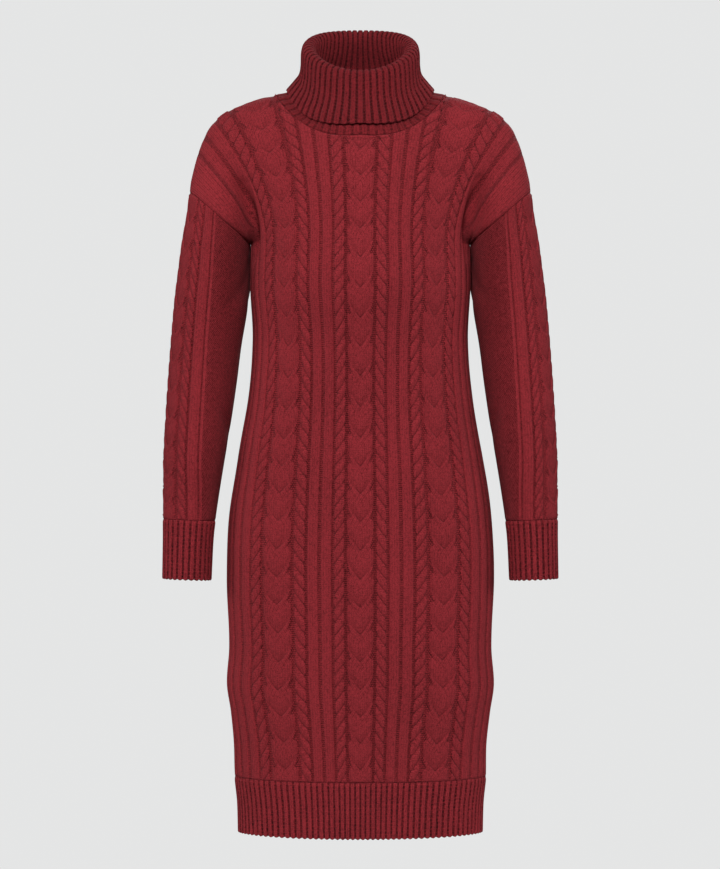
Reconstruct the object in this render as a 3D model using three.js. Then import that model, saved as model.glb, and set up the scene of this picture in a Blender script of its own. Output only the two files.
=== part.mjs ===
// A knee-length cable-knit sweater dress with dropped shoulders and a folded roll collar,
// filled out as it is when worn, with nobody in it.
// Millimetres. The front faces -Y, +X is the wearer's left, +Z is up.
// The origin is the middle of the neckline, level with its shoulder points, where the wearer carries it.
import * as THREE from "three";

// Cloth sizes.
const WALL = 3; // thickness of the knitted cloth
const SEAM_GAP = 0.3; // between two pieces along a seam
const NECK_SEAM_GAP = 0.5; // the same along the neckline, where the facets of collar and panels close in
const BAND_TOP = -926; // where the ribbed hem bands are joined on
const HEM = -1001; // lower edge of the hem bands
const VENT_TOP = -801; // top of the side vents
const VENT_SPREAD = 10; // how far each vent edge stands from the side line, at the hem
const CUFF_TOP = -577;
const CUFF_END = -657;

// Steps of the faceted surfaces. Pieces that are joined have their corners at the same places of the seam.
const PANEL_COLUMNS = 20;
const NECK_COLUMNS = 8; // of them, those that end on the neckline
const SKIRT_ROWS = 18;
const YOKE_ROWS = 10;
const BAND_ROWS = 3;
const SLEEVE_COLUMNS = 2 * YOKE_ROWS;
const SLEEVE_ROWS = 12;
const CUFF_ROWS = 2;
const COLLAR_COLUMNS = 4 * NECK_COLUMNS;

// Horizontal sections of the body below the armpits: half its width, and its depth in front of and behind
// the line of the side seams.
const BODY = [
  { z: -203, half: 149.5, front: 118, back: 95 },
  { z: -262, half: 150, front: 124, back: 93 },
  { z: -333, half: 146.5, front: 110, back: 88 },
  { z: -414, half: 153.3, front: 103, back: 89 },
  { z: -496, half: 167.6, front: 104, back: 99 },
  { z: -578, half: 179.2, front: 106, back: 111 },
  { z: -660, half: 182, front: 107, back: 114 },
  { z: -750, half: 178.8, front: 104, back: 107 },
  { z: -801, half: 182.2, front: 101, back: 102 },
  { z: -840, half: 176.5, front: 98, back: 99 },
  { z: -880, half: 172.3, front: 95, back: 96 },
  { z: -926, half: 171.5, front: 93, back: 94 },
  { z: -960, half: 168.3, front: 92, back: 93 },
  { z: -1001, half: 167.5, front: 92, back: 93 },
];
const ARMPIT = BODY[0];

// The line over the top of the shoulder, by the share of the half panel's width. Outwards from the neckline
// it is the shoulder seam. Across the neck it only gives the cloth beside the neckline its form.
const NECK_SHARE = 0.4; // share of the half panel's width that the neckline cuts
const SHOULDER = [
  { share: 0, x: 0, z: 38 },
  { share: 0.2, x: 60, z: 27 },
  { share: NECK_SHARE, x: 116, z: 1 },
  { share: 0.505, x: 148.6, z: -9.5 },
  { share: 0.619, x: 182.6, z: -23.2 },
  { share: 0.712, x: 205, z: -43.6 },
  { share: 0.814, x: 218.8, z: -73.6 },
  { share: 0.946, x: 229.7, z: -114.5 },
  { share: 1, x: 232, z: -132 },
];
const SHOULDER_END = SHOULDER[SHOULDER.length - 1];
const ARMHOLE_DEPTH = 64; // half the armhole's width from front to back
const ARMPIT_TURN = 0.72; // share of the half panel where the cloth starts to turn over the arm

// The middle column of stitches above armpit height: the lengths that round its lower and upper end,
// and the part of the way to the shoulder line at which the neckline cuts it off.
const YOKE_FRONT = { rise: 260, fall: 300, neck: 0.46 };
const YOKE_BACK = { rise: 400, fall: 350, neck: 0.7 };
const NECK_ROUNDNESS = 2.7; // power of the neckline's curve: 2 is an ellipse and more is squarer

// The crest of the folded collar is a ring that leans forward.
const CREST = { half: 71, front: 66, back: 62, low: 21, side: 66, high: 91.5 };

// The collar's cloth from the neckline seam up to the crest and down again to the edge of the fold.
// out is the share of the way from crest to seam, at the sides and in front, and by is added in mm;
// down is the share of the height from crest to seam, and rise is added in mm.
const COLLAR = [
  { outSide: 1, outFront: 1, by: 0, downSide: 1, downFront: 1, rise: 0 },
  { outSide: 0.56, outFront: 0.77, by: 0, downSide: 0.95, downFront: 0.86, rise: 0 },
  { outSide: 0.34, outFront: 0.4, by: 0, downSide: 0.82, downFront: 0.68, rise: 0 },
  { outSide: 0.14, outFront: 0.13, by: -1, downSide: 0.6, downFront: 0.5, rise: 0 },
  { outSide: 0, outFront: 0, by: -5, downSide: 0.36, downFront: 0.3, rise: 0 },
  { outSide: 0, outFront: 0, by: -9, downSide: 0, downFront: 0, rise: -8 },
  { outSide: 0, outFront: 0, by: -7, downSide: 0, downFront: 0, rise: 1 },
  { outSide: 0, outFront: 0, by: -0.8, downSide: 0, downFront: 0, rise: 4.5 },
  { outSide: 0, outFront: 0, by: 5.5, downSide: 0, downFront: 0, rise: 1 },
  { outSide: 0, outFront: 0, by: 8, downSide: 0, downFront: 0, rise: -8 },
  { outSide: 0, outFront: 0.08, by: 8.5, downSide: 0.38, downFront: 0.36, rise: 0 },
  { outSide: 0.05, outFront: 0.28, by: 8.5, downSide: 0.56, downFront: 0.54, rise: 0 },
  { outSide: 0.2, outFront: 0.5, by: 8.5, downSide: 0.7, downFront: 0.69, rise: 0 },
  { outSide: 0.45, outFront: 0.65, by: 8.5, downSide: 0.9, downFront: 0.82, rise: 0 },
];

// Sections across the sleeve, from the armhole to the cuff's edge. tilt is the lean of a section in degrees.
const SLEEVE = [
  { x: 190.75, y: 0, z: -167.5, half: 54.4, depth: ARMHOLE_DEPTH, tilt: 40.7 },
  { x: 193.7, y: 0, z: -192.5, half: 51.7, depth: 63, tilt: 36.1 },
  { x: 196.8, y: 0, z: -219.6, half: 50.5, depth: 61, tilt: 27.6 },
  { x: 199.6, y: 0, z: -249.2, half: 49.4, depth: 59, tilt: 17.4 },
  { x: 203.2, y: -1, z: -286.2, half: 49.6, depth: 57, tilt: 9.5 },
  { x: 209.4, y: -2, z: -336.3, half: 47.7, depth: 54, tilt: 4.5 },
  { x: 214.5, y: -4, z: -387, half: 46.5, depth: 51, tilt: 4 },
  { x: 220.1, y: -8, z: -441.6, half: 44.3, depth: 48, tilt: 4 },
  { x: 225.9, y: -13, z: -496, half: 41.2, depth: 44, tilt: 4 },
  { x: 229.3, y: -17, z: -540, half: 37.8, depth: 39, tilt: 3 },
  { x: 232, y: -20, z: CUFF_TOP, half: 35.4, depth: 36, tilt: 2 },
  { x: 233.4, y: -22, z: -605, half: 33.9, depth: 34, tilt: 2 },
  { x: 234.9, y: -25, z: CUFF_END, half: 33, depth: 33, tilt: 2 },
];
const CUFF_ROW = SLEEVE.findIndex((row) => row.z === CUFF_TOP);

const KNIT = { color: 0x822a32, roughness: 0.95, metalness: 0 };
const RIB = { color: 0x7a242c, roughness: 0.95, metalness: 0 };

const QUARTER = Math.PI / 2;
const FRONT = -1;
const BACK = 1;

function smoothstep(low, high, value) {
  const t = THREE.MathUtils.clamp((value - low) / (high - low), 0, 1);
  return t * t * (3 - 2 * t);
}

// The cubic with the given ends and end slopes.
function hermite(a, slopeA, b, slopeB, t) {
  const t2 = t * t;
  const t3 = t2 * t;
  return a * (2 * t3 - 3 * t2 + 1) + slopeA * (t3 - 2 * t2 + t) + b * (3 * t2 - 2 * t3) + slopeB * (t3 - t2);
}

function hermiteVector(a, slopeA, b, slopeB, t) {
  const axis = (name) => hermite(a[name], slopeA[name], b[name], slopeB[name], t);
  return new THREE.Vector3(axis("x"), axis("y"), axis("z"));
}

// A smooth curve through one column of a table, read at a place along the column named key.
function read(table, key, column, at) {
  const rising = table[1][key] > table[0][key];
  let i = 0;
  while (i < table.length - 2 && (rising ? at > table[i + 1][key] : at < table[i + 1][key])) i += 1;
  const slope = (k) => {
    const before = table[Math.max(k - 1, 0)];
    const after = table[Math.min(k + 1, table.length - 1)];
    return (after[column] - before[column]) / (after[key] - before[key]);
  };
  const span = table[i + 1][key] - table[i][key];
  const t = THREE.MathUtils.clamp((at - table[i][key]) / span, 0, 1);
  return hermite(table[i][column], slope(i) * span, table[i + 1][column], slope(i + 1) * span, t);
}

// How far the edge of a panel keeps from the side line: half a seam gap, and more below the top of the vent.
function edgeSetBack(z) {
  const below = THREE.MathUtils.clamp((VENT_TOP - z) / (VENT_TOP - HEM), 0, 1);
  return SEAM_GAP / 2 + VENT_SPREAD * below;
}

// A point of the body's section at height z. share runs from 0 in the middle to 1 or -1 at the sides.
// The angle is corrected so that equal shares are nearly equal lengths of cloth.
function bodyPoint(side, share, z) {
  const half = read(BODY, "z", "half", z);
  const depth = read(BODY, "z", side === FRONT ? "front" : "back", z);
  const uneven = (half - depth) / (half + depth) / 2;
  const even = share * QUARTER;
  const reach = Math.acos(edgeSetBack(z) / depth) / QUARTER;
  const angle = (even - uneven * Math.sin(2 * even)) * reach;
  return new THREE.Vector3(half * Math.sin(angle), side * depth * Math.cos(angle), z);
}

// The armhole seam, a leaning ellipse. turn is 0 at the armpit and 1 at the end of the shoulder seam.
function armholePoint(side, turn) {
  const angle = turn * Math.PI;
  const x = (ARMPIT.half + SHOULDER_END.x) / 2 - (SHOULDER_END.x - ARMPIT.half) / 2 * Math.cos(angle);
  const z = (ARMPIT.z + SHOULDER_END.z) / 2 - (SHOULDER_END.z - ARMPIT.z) / 2 * Math.cos(angle);
  return new THREE.Vector3(x, side * (ARMHOLE_DEPTH * Math.sin(angle) + SEAM_GAP / 2), z);
}

// The outward direction of the cloth along the armhole seam, shared by panel and sleeve.
function armholeNormal(side, turn) {
  const angle = turn * Math.PI;
  const over = (1 - Math.cos(angle)) / 2;
  return new THREE.Vector3(over, side * Math.sin(angle), 0.12 * over - (1 - over)).normalize();
}

// The shoulder line in front or behind, half a seam gap from the middle.
function shoulderPoint(side, across) {
  const x = read(SHOULDER, "share", "x", across);
  return new THREE.Vector3(x, (side * SEAM_GAP) / 2, read(SHOULDER, "share", "z", across));
}

// A column of stitches from armpit height at t = 0 to the shoulder line at t = 1, as if there were no arm.
function freeColumn(side, across, t) {
  const yoke = side === FRONT ? YOKE_FRONT : YOKE_BACK;
  const swing = ARMHOLE_DEPTH * Math.PI;
  const step = 2;
  const start = bodyPoint(side, across, ARMPIT.z);
  const rise = THREE.MathUtils.lerp(yoke.rise, swing, smoothstep(0, 1, across));
  const fall = THREE.MathUtils.lerp(yoke.fall, swing, smoothstep(0, 1, across));
  const up = start.clone().sub(bodyPoint(side, across, ARMPIT.z - step)).multiplyScalar(rise / step);
  up.lerp(new THREE.Vector3(0, side * swing, 0), smoothstep(ARMPIT_TURN, 1, across));
  return hermiteVector(start, up, shoulderPoint(side, across), new THREE.Vector3(0, -side * fall, 0), t);
}

// The same column bent on to the armhole seam. share is negative on the wearer's right.
function yokePoint(side, share, t) {
  const across = Math.abs(share);
  const point = freeColumn(side, across, t);
  const toSeam = armholePoint(side, t).sub(freeColumn(side, 1, t));
  point.addScaledVector(toSeam, smoothstep(ARMPIT_TURN, 1, across));
  point.x *= Math.sign(share) || 1;
  return point;
}

// The part of a column's way to the shoulder line at which it ends, at the neckline or at the shoulder seam.
function columnEnd(side, share) {
  const yoke = side === FRONT ? YOKE_FRONT : YOKE_BACK;
  const q = Math.min(Math.abs(share) / NECK_SHARE, 1);
  return 1 - (1 - yoke.neck) * (1 - q ** NECK_ROUNDNESS) ** (1 / NECK_ROUNDNESS);
}

// A point of a panel. v runs from 0 at the hem band to 1 at armpit height and 2 at the top.
function panelPoint(side, share, v) {
  if (v <= 1) return bodyPoint(side, share, THREE.MathUtils.lerp(BAND_TOP + SEAM_GAP, ARMPIT.z, v));
  return yokePoint(side, share, (v - 1) * columnEnd(side, share));
}

// A point of the neckline seam. angle is 0 in front and 180 degrees behind.
function neckPoint(angle) {
  return panelPoint(Math.cos(angle) > 0 ? FRONT : BACK, NECK_SHARE * Math.sin(angle), 2);
}

// The outward direction of the cloth along the neckline seam, shared by panels and collar.
function neckNormal(angle) {
  const side = Math.cos(angle) > 0 ? FRONT : BACK;
  const share = NECK_SHARE * Math.sin(angle);
  const normal = normalOf((a, b) => yokePoint(side, a, b), share, columnEnd(side, share), [-1, 1, 0, 1]);
  if (Math.abs(Math.cos(angle)) < 1e-6) normal.y = 0;
  return normal.multiplyScalar(-side).normalize();
}

// The outward normal of a surface given as a function of two parameters, from small steps.
function normalOf(surface, u, v, limits) {
  const step = 0.004;
  const at = (a, b) =>
    surface(THREE.MathUtils.clamp(a, limits[0], limits[1]), THREE.MathUtils.clamp(b, limits[2], limits[3]));
  const alongU = at(u + step, v).sub(at(u - step, v));
  const alongV = at(u, v + step).sub(at(u, v - step));
  return alongU.cross(alongV).normalize();
}

function panelNormal(side, share, v) {
  const edge = Math.abs(share) === 1;
  if (edge && v > 1) {
    const normal = armholeNormal(side, v - 1);
    normal.x *= share;
    return normal;
  }
  if (edge && v === 1) return new THREE.Vector3(0, 0, -1);
  if (v === 2 && Math.abs(share) <= NECK_SHARE) {
    const angle = Math.asin(share / NECK_SHARE);
    return neckNormal(side === FRONT ? angle : Math.PI - angle);
  }
  const surface = (a, b) => panelPoint(side, a, b);
  const normal = normalOf(surface, share, v, [-1, 1, 0, v <= 1 ? 1 : 2]).multiplyScalar(-side);
  if (edge || v === 2) normal.y = 0;
  return normal.normalize();
}

// The share at which a column of facets stands. On the neckline they are evenly spaced round the neck.
function columnShare(column) {
  const middle = PANEL_COLUMNS / 2;
  const fromMiddle = Math.abs(column - middle);
  const neck = NECK_COLUMNS / 2;
  const beyond = NECK_SHARE + ((1 - NECK_SHARE) * (fromMiddle - neck)) / (middle - neck);
  const across = fromMiddle <= neck ? NECK_SHARE * Math.sin((fromMiddle / neck) * QUARTER) : beyond;
  return Math.sign(column - middle) * across;
}

// The closed surface of a wall. corners(i, j) gives its outer and inner point at row i and column j.
// A ring closes on itself across its columns; a loop also closes along its rows and has one side only.
function wallGeometry(rows, columns, corners, ring) {
  const across = ring ? columns : columns + 1;
  const positions = [];
  for (const layer of ["outer", "inner"])
    for (let i = 0; i <= rows; i += 1)
      for (let j = 0; j < across; j += 1) positions.push(...corners(i, j)[layer].toArray());
  const inner = (rows + 1) * across;
  const at = (i, j) => i * across + (j % across);
  const index = [];
  const quad = (a, b, c, d) => index.push(a, b, c, a, c, d);
  for (let i = 0; i < rows; i += 1)
    for (let j = 0; j < columns; j += 1) {
      quad(at(i, j), at(i, j + 1), at(i + 1, j + 1), at(i + 1, j));
      quad(inner + at(i, j), inner + at(i + 1, j), inner + at(i + 1, j + 1), inner + at(i, j + 1));
    }
  for (let j = 0; j < columns; j += 1) {
    quad(at(0, j), inner + at(0, j), inner + at(0, j + 1), at(0, j + 1));
    quad(at(rows, j), at(rows, j + 1), inner + at(rows, j + 1), inner + at(rows, j));
  }
  if (!ring)
    for (let i = 0; i < rows; i += 1) {
      quad(at(i, 0), at(i + 1, 0), inner + at(i + 1, 0), inner + at(i, 0));
      quad(at(i, columns), inner + at(i, columns), inner + at(i + 1, columns), at(i + 1, columns));
    }
  return facingOut(positions, index);
}

// A geometry from points and triangles, turned round if it would be inside out.
function facingOut(positions, index) {
  const point = (k) => new THREE.Vector3().fromArray(positions, 3 * index[k]);
  let volume = 0;
  for (let k = 0; k < index.length; k += 3) volume += point(k).dot(point(k + 1).cross(point(k + 2)));
  if (volume < 0) index.reverse();
  const geometry = new THREE.BufferGeometry();
  geometry.setAttribute("position", new THREE.Float32BufferAttribute(positions, 3));
  geometry.setIndex(index);
  geometry.computeVertexNormals();
  return geometry;
}

function wallCorner(point, normal) {
  return { outer: point, inner: point.clone().addScaledVector(normal, -WALL) };
}

// The front or back panel, from the hem band to the neckline and the shoulder seams.
function panel(side) {
  const rows = SKIRT_ROWS + YOKE_ROWS;
  return wallGeometry(rows, PANEL_COLUMNS, (i, j) => {
    const share = columnShare(j);
    const v = i <= SKIRT_ROWS ? i / SKIRT_ROWS : 1 + (i - SKIRT_ROWS) / YOKE_ROWS;
    return wallCorner(panelPoint(side, share, v), panelNormal(side, share, v));
  });
}

// The ribbed band along the lower edge of a panel.
function hemBand(side) {
  return wallGeometry(BAND_ROWS, PANEL_COLUMNS, (i, j) => {
    const share = columnShare(j);
    const surface = (a, b) => bodyPoint(side, a, THREE.MathUtils.lerp(HEM, BAND_TOP, b));
    const v = i / BAND_ROWS;
    const normal = normalOf(surface, share, v, [-1, 1, 0, 1]).multiplyScalar(-side);
    return wallCorner(surface(share, v), normal);
  });
}

// A point of the sleeve. turn goes once round, from 0 at the underarm by way of the front.
// row is a place in the table.
function sleevePoint(turn, row) {
  const table = SLEEVE.map((entry, place) => ({ place, ...entry }));
  const value = (column) => read(table, "place", column, row);
  const angle = turn * 2 * Math.PI;
  const tilt = THREE.MathUtils.degToRad(value("tilt"));
  const reach = -value("half") * Math.cos(angle);
  return new THREE.Vector3(
    value("x") + reach * Math.cos(tilt),
    value("y") - value("depth") * Math.sin(angle),
    value("z") + reach * Math.sin(tilt),
  );
}

function sleeveCorner(turn, row) {
  const point = sleevePoint(turn, row);
  const limits = [-1, 2, 0, SLEEVE.length - 1];
  if (row > 0) return wallCorner(point, normalOf(sleevePoint, turn, row, limits).negate());
  const side = turn <= 0.5 ? FRONT : BACK;
  const normal = armholeNormal(side, turn <= 0.5 ? 2 * turn : 2 - 2 * turn);
  const round = sleevePoint(turn + 0.01, 0).sub(sleevePoint(turn - 0.01, 0));
  return wallCorner(point.addScaledVector(round.cross(normal).normalize(), SEAM_GAP), normal);
}

function sleeveTube(firstRow, lastRow, steps) {
  return wallGeometry(
    steps,
    SLEEVE_COLUMNS,
    (i, j) => sleeveCorner(j / SLEEVE_COLUMNS, THREE.MathUtils.lerp(firstRow, lastRow, i / steps)),
    true,
  );
}

function mirrored(geometry) {
  const flip = (value, k) => (k % 3 === 0 ? -value : value);
  const positions = Array.from(geometry.getAttribute("position").array, flip);
  return facingOut(positions, Array.from(geometry.getIndex().array));
}

// A value along the neckline at a column of the collar, straight between the corners of the panels.
function betweenCorners(column, value) {
  const at = (place) => value((place / COLLAR_COLUMNS) * 4 * QUARTER);
  return column % 2 === 0 ? at(column) : at(column - 1).lerp(at(column + 1), 0.5);
}

// The middle of the collar's cloth at one place of its path and one column.
function collarMiddle(row, column) {
  const angle = (column / COLLAR_COLUMNS) * 4 * QUARTER;
  const ahead = Math.cos(angle) ** 2;
  const seam = row === COLLAR[0] ? betweenCorners(column, neckPoint) : neckPoint(angle);
  const forward = Math.cos(angle) > 0 ? CREST.front : CREST.back;
  const lean = (CREST.high - CREST.low) / 2;
  const bow = (CREST.high + CREST.low) / 2 - CREST.side;
  const crest = new THREE.Vector3(
    CREST.half * Math.sin(angle),
    -forward * Math.cos(angle),
    CREST.side - lean * Math.cos(angle) + bow * ahead,
  );
  const outward = new THREE.Vector3(Math.sin(angle), -Math.cos(angle), 0);
  const out = THREE.MathUtils.lerp(row.outSide, row.outFront, ahead);
  const down = THREE.MathUtils.lerp(row.downSide, row.downFront, ahead);
  const point = crest.clone().lerp(seam, out).addScaledVector(outward, row.by);
  point.z = THREE.MathUtils.lerp(crest.z, seam.z, down) + row.rise;
  return point;
}

// The folded collar: a wall that goes up from the neckline, over the crest and down outside.
function collar() {
  const rows = COLLAR.length - 1;
  return wallGeometry(
    rows,
    COLLAR_COLUMNS,
    (i, j) => {
      const middle = collarMiddle(COLLAR[i], j);
      const before = collarMiddle(COLLAR[Math.max(i - 1, 0)], j);
      const after = collarMiddle(COLLAR[Math.min(i + 1, rows)], j);
      const along = after.sub(before).normalize();
      const round = collarMiddle(COLLAR[i], j + 1).sub(collarMiddle(COLLAR[i], j - 1));
      if (i === 0) {
        const normal = betweenCorners(j, neckNormal);
        const up = normal.clone().cross(round).normalize();
        return wallCorner(middle.addScaledVector(up, NECK_SEAM_GAP), normal);
      }
      const normal = round.cross(along).normalize();
      return wallCorner(middle.addScaledVector(normal, WALL / 2), normal);
    },
    true,
  );
}

const dress = new THREE.Group();

function add(name, geometry, finish) {
  const mesh = new THREE.Mesh(geometry, new THREE.MeshStandardMaterial(finish));
  mesh.name = name;
  dress.add(mesh);
}

add("front_panel", panel(FRONT), KNIT);
add("back_panel", panel(BACK), KNIT);
add("front_hem_band", hemBand(FRONT), RIB);
add("back_hem_band", hemBand(BACK), RIB);

const cuffGap = SEAM_GAP / 33; // the seam gap as a part of one row of the sleeve's table
const sleeve = sleeveTube(0, CUFF_ROW - cuffGap, SLEEVE_ROWS);
const cuff = sleeveTube(CUFF_ROW, SLEEVE.length - 1, CUFF_ROWS);
add("left_sleeve", sleeve, KNIT);
add("right_sleeve", mirrored(sleeve), KNIT);
add("left_cuff", cuff, RIB);
add("right_cuff", mirrored(cuff), RIB);
add("roll_collar", collar(), RIB);

export default dress;
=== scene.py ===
"""The looks of a knee-length cable-knit sweater dress, filled out as it is when worn, with nobody in it.

Every knitted piece is a thin closed wall on the form of its CAD node. The forms are the node's own formulas
in millimetres, worked out on fine grids, and the cables and ribs stand on them as relief. The meshes are in
metres.
"""
import math

import bpy
import numpy as np
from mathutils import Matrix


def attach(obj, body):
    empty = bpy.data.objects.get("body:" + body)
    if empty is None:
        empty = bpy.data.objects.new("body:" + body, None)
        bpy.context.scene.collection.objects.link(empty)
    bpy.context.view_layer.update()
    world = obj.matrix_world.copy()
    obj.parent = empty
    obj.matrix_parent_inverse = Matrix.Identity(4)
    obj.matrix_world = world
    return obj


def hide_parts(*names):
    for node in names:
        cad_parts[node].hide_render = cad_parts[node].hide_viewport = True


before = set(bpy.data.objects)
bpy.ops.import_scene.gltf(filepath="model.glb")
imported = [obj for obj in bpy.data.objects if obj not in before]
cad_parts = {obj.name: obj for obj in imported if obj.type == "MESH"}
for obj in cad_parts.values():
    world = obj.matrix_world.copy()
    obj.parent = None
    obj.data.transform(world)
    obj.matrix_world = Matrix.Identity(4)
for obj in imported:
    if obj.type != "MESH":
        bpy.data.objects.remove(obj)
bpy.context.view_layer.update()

MM = 0.001


def table(columns, *rows):
    """A short table as one array for each named column."""
    return dict(zip(columns, np.array(rows, float).T))


# Sizes of the cloth, as in the CAD model.
WALL = 3.0
SEAM_GAP = 0.3
BAND_TOP = -926.0
HEM = -1001.0
VENT_TOP = -801.0
VENT_SPREAD = 10.0
FRONT = -1
BACK = 1
QUARTER = math.pi / 2

# Horizontal sections of the body below the armpits: half its width, and its depth in front and behind.
BODY = table(
    ("z", "half", "front", "back"),
    (-203, 149.5, 118, 95),
    (-262, 150, 124, 93),
    (-333, 146.5, 110, 88),
    (-414, 153.3, 103, 89),
    (-496, 167.6, 104, 99),
    (-578, 179.2, 106, 111),
    (-660, 182, 107, 114),
    (-750, 178.8, 104, 107),
    (-801, 182.2, 101, 102),
    (-840, 176.5, 98, 99),
    (-880, 172.3, 95, 96),
    (-926, 171.5, 93, 94),
    (-960, 168.3, 92, 93),
    (-1001, 167.5, 92, 93),
)
ARMPIT_Z = -203.0
ARMPIT_HALF = 149.5

# The line over the top of the shoulder, by the share of the half panel's width.
NECK_SHARE = 0.4
SHOULDER = table(
    ("share", "x", "z"),
    (0, 0, 38),
    (0.2, 60, 27),
    (NECK_SHARE, 116, 1),
    (0.505, 148.6, -9.5),
    (0.619, 182.6, -23.2),
    (0.712, 205, -43.6),
    (0.814, 218.8, -73.6),
    (0.946, 229.7, -114.5),
    (1, 232, -132),
)
SHOULDER_END_X = 232.0
SHOULDER_END_Z = -132.0
ARMHOLE_DEPTH = 64.0
ARMPIT_TURN = 0.72

# The middle column of stitches above armpit height: the lengths that round its lower and upper end, and the
# part of the way to the shoulder line at which the neckline cuts it off.
YOKE_RISE = {FRONT: 260.0, BACK: 400.0}
YOKE_FALL = {FRONT: 300.0, BACK: 350.0}
YOKE_NECK = {FRONT: 0.46, BACK: 0.7}
NECK_ROUNDNESS = 2.7

# The crest of the folded collar is a ring that leans forward.
CREST_HALF = 71.0
CREST_DEPTH = {FRONT: 66.0, BACK: 62.0}
CREST_LOW = 21.0
CREST_SIDE = 66.0
CREST_HIGH = 91.5

# The collar's cloth from the neckline seam up to the crest and down again to the edge of the fold: the share
# of the way out from crest to seam at the sides and in front, and mm added to it, then the same for the way
# down.
COLLAR = table(
    ("out_side", "out_front", "by", "down_side", "down_front", "rise"),
    (1, 1, 0, 1, 1, 0),
    (0.56, 0.77, 0, 0.95, 0.86, 0),
    (0.34, 0.4, 0, 0.82, 0.68, 0),
    (0.14, 0.13, -1, 0.6, 0.5, 0),
    (0, 0, -5, 0.36, 0.3, 0),
    (0, 0, -9, 0, 0, -8),
    (0, 0, -7, 0, 0, 1),
    (0, 0, -0.8, 0, 0, 4.5),
    (0, 0, 5.5, 0, 0, 1),
    (0, 0, 8, 0, 0, -8),
    (0, 0.08, 8.5, 0.38, 0.36, 0),
    (0.05, 0.28, 8.5, 0.56, 0.54, 0),
    (0.2, 0.5, 8.5, 0.7, 0.69, 0),
    (0.45, 0.65, 8.5, 0.9, 0.82, 0),
)

# Sections across the sleeve, from the armhole to the cuff's edge. tilt is the lean of a section in degrees.
SLEEVE = table(
    ("x", "y", "z", "half", "depth", "tilt"),
    (190.75, 0, -167.5, 54.4, ARMHOLE_DEPTH, 40.7),
    (193.7, 0, -192.5, 51.7, 63, 36.1),
    (196.8, 0, -219.6, 50.5, 61, 27.6),
    (199.6, 0, -249.2, 49.4, 59, 17.4),
    (203.2, -1, -286.2, 49.6, 57, 9.5),
    (209.4, -2, -336.3, 47.7, 54, 4.5),
    (214.5, -4, -387, 46.5, 51, 4),
    (220.1, -8, -441.6, 44.3, 48, 4),
    (225.9, -13, -496, 41.2, 44, 4),
    (229.3, -17, -540, 37.8, 39, 3),
    (232, -20, -577, 35.4, 36, 2),
    (233.4, -22, -605, 33.9, 34, 2),
    (234.9, -25, -657, 33, 33, 2),
)
SLEEVE["place"] = np.arange(13.0)
COLLAR["place"] = np.arange(14.0)
CUFF_PLACE = 10.0
SLEEVE_END_PLACE = 12.0

# The photograph's view.
PHOTO_WIDTH = 720
PHOTO_HEIGHT = 869
MIDDLE_COLUMN = 360.35  # pixel column of the dress's middle
EYE_Z = -461.4  # the middle row of the picture
MM_PER_PIXEL = 1.363  # in the plane of the side seams
CAMERA_DISTANCE = 4000.0


def smoothstep(low, high, value):
    """0 below low, 1 above high, and 3t2 - 2t3 between."""
    t = np.clip((value - low) / (high - low), 0, 1)
    return t * t * (3 - 2 * t)


def hermite(start, start_slope, end, end_slope, t):
    """The cubic with the given ends and end slopes."""
    return (
        start * (2 * t**3 - 3 * t**2 + 1)
        + start_slope * (t**3 - 2 * t**2 + t)
        + end * (3 * t**2 - 2 * t**3)
        + end_slope * (t**3 - t**2)
    )


def read(rows, key, column, at):
    """A smooth curve through one column of a table: cubics between neighbouring rows.

    The slope at a row is that of the line between the rows before and after it.
    """
    keys, values = rows[key], rows[column]
    if keys[0] > keys[-1]:
        keys, values = keys[::-1], values[::-1]
    last = len(keys) - 1
    before = np.maximum(np.arange(last + 1) - 1, 0)
    after = np.minimum(np.arange(last + 1) + 1, last)
    slope = (values[after] - values[before]) / (keys[after] - keys[before])
    i = np.clip(np.searchsorted(keys, at, side="right") - 1, 0, last - 1)
    span = keys[i + 1] - keys[i]
    t = np.clip((at - keys[i]) / span, 0, 1)
    return hermite(values[i], slope[i] * span, values[i + 1], slope[i + 1] * span, t)


def points(x, y, z):
    """Three coordinate arrays as one array of points."""
    return np.stack(np.broadcast_arrays(x, y, z), -1).astype(float)


def unit(vectors):
    return vectors / np.maximum(np.linalg.norm(vectors, axis=-1, keepdims=True), 1e-9)


def body_point(side, share, z):
    """The body's section at height z: half an ellipse, share 0 in the middle and 1 or -1 at the sides.

    The angle is corrected so that equal shares are nearly equal lengths of cloth, and ends half a seam gap
    from the side line, or further below the top of the side vents.
    """
    half = read(BODY, "z", "half", z)
    depth = read(BODY, "z", "front" if side == FRONT else "back", z)
    below = np.clip((VENT_TOP - z) / (VENT_TOP - HEM), 0, 1)
    set_back = SEAM_GAP / 2 + VENT_SPREAD * below
    uneven = (half - depth) / (half + depth) / 2
    even = share * QUARTER
    reach = np.arccos(set_back / depth) / QUARTER
    angle = (even - uneven * np.sin(2 * even)) * reach
    return points(half * np.sin(angle), side * depth * np.cos(angle), z)


def armhole_point(side, turn):
    """The armhole seam, a leaning ellipse. turn is 0 at the armpit and 1 at the end of the shoulder seam."""
    angle = turn * math.pi
    x = (ARMPIT_HALF + SHOULDER_END_X) / 2 - (SHOULDER_END_X - ARMPIT_HALF) / 2 * np.cos(angle)
    z = (ARMPIT_Z + SHOULDER_END_Z) / 2 - (SHOULDER_END_Z - ARMPIT_Z) / 2 * np.cos(angle)
    return points(x, side * (ARMHOLE_DEPTH * np.sin(angle) + SEAM_GAP / 2), z)


def armhole_normal(side, turn):
    """The outward direction of the cloth along the armhole seam, shared by panel and sleeve."""
    angle = turn * math.pi
    over = (1 - np.cos(angle)) / 2
    return unit(points(over, side * np.sin(angle), 1.12 * over - 1))


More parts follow.
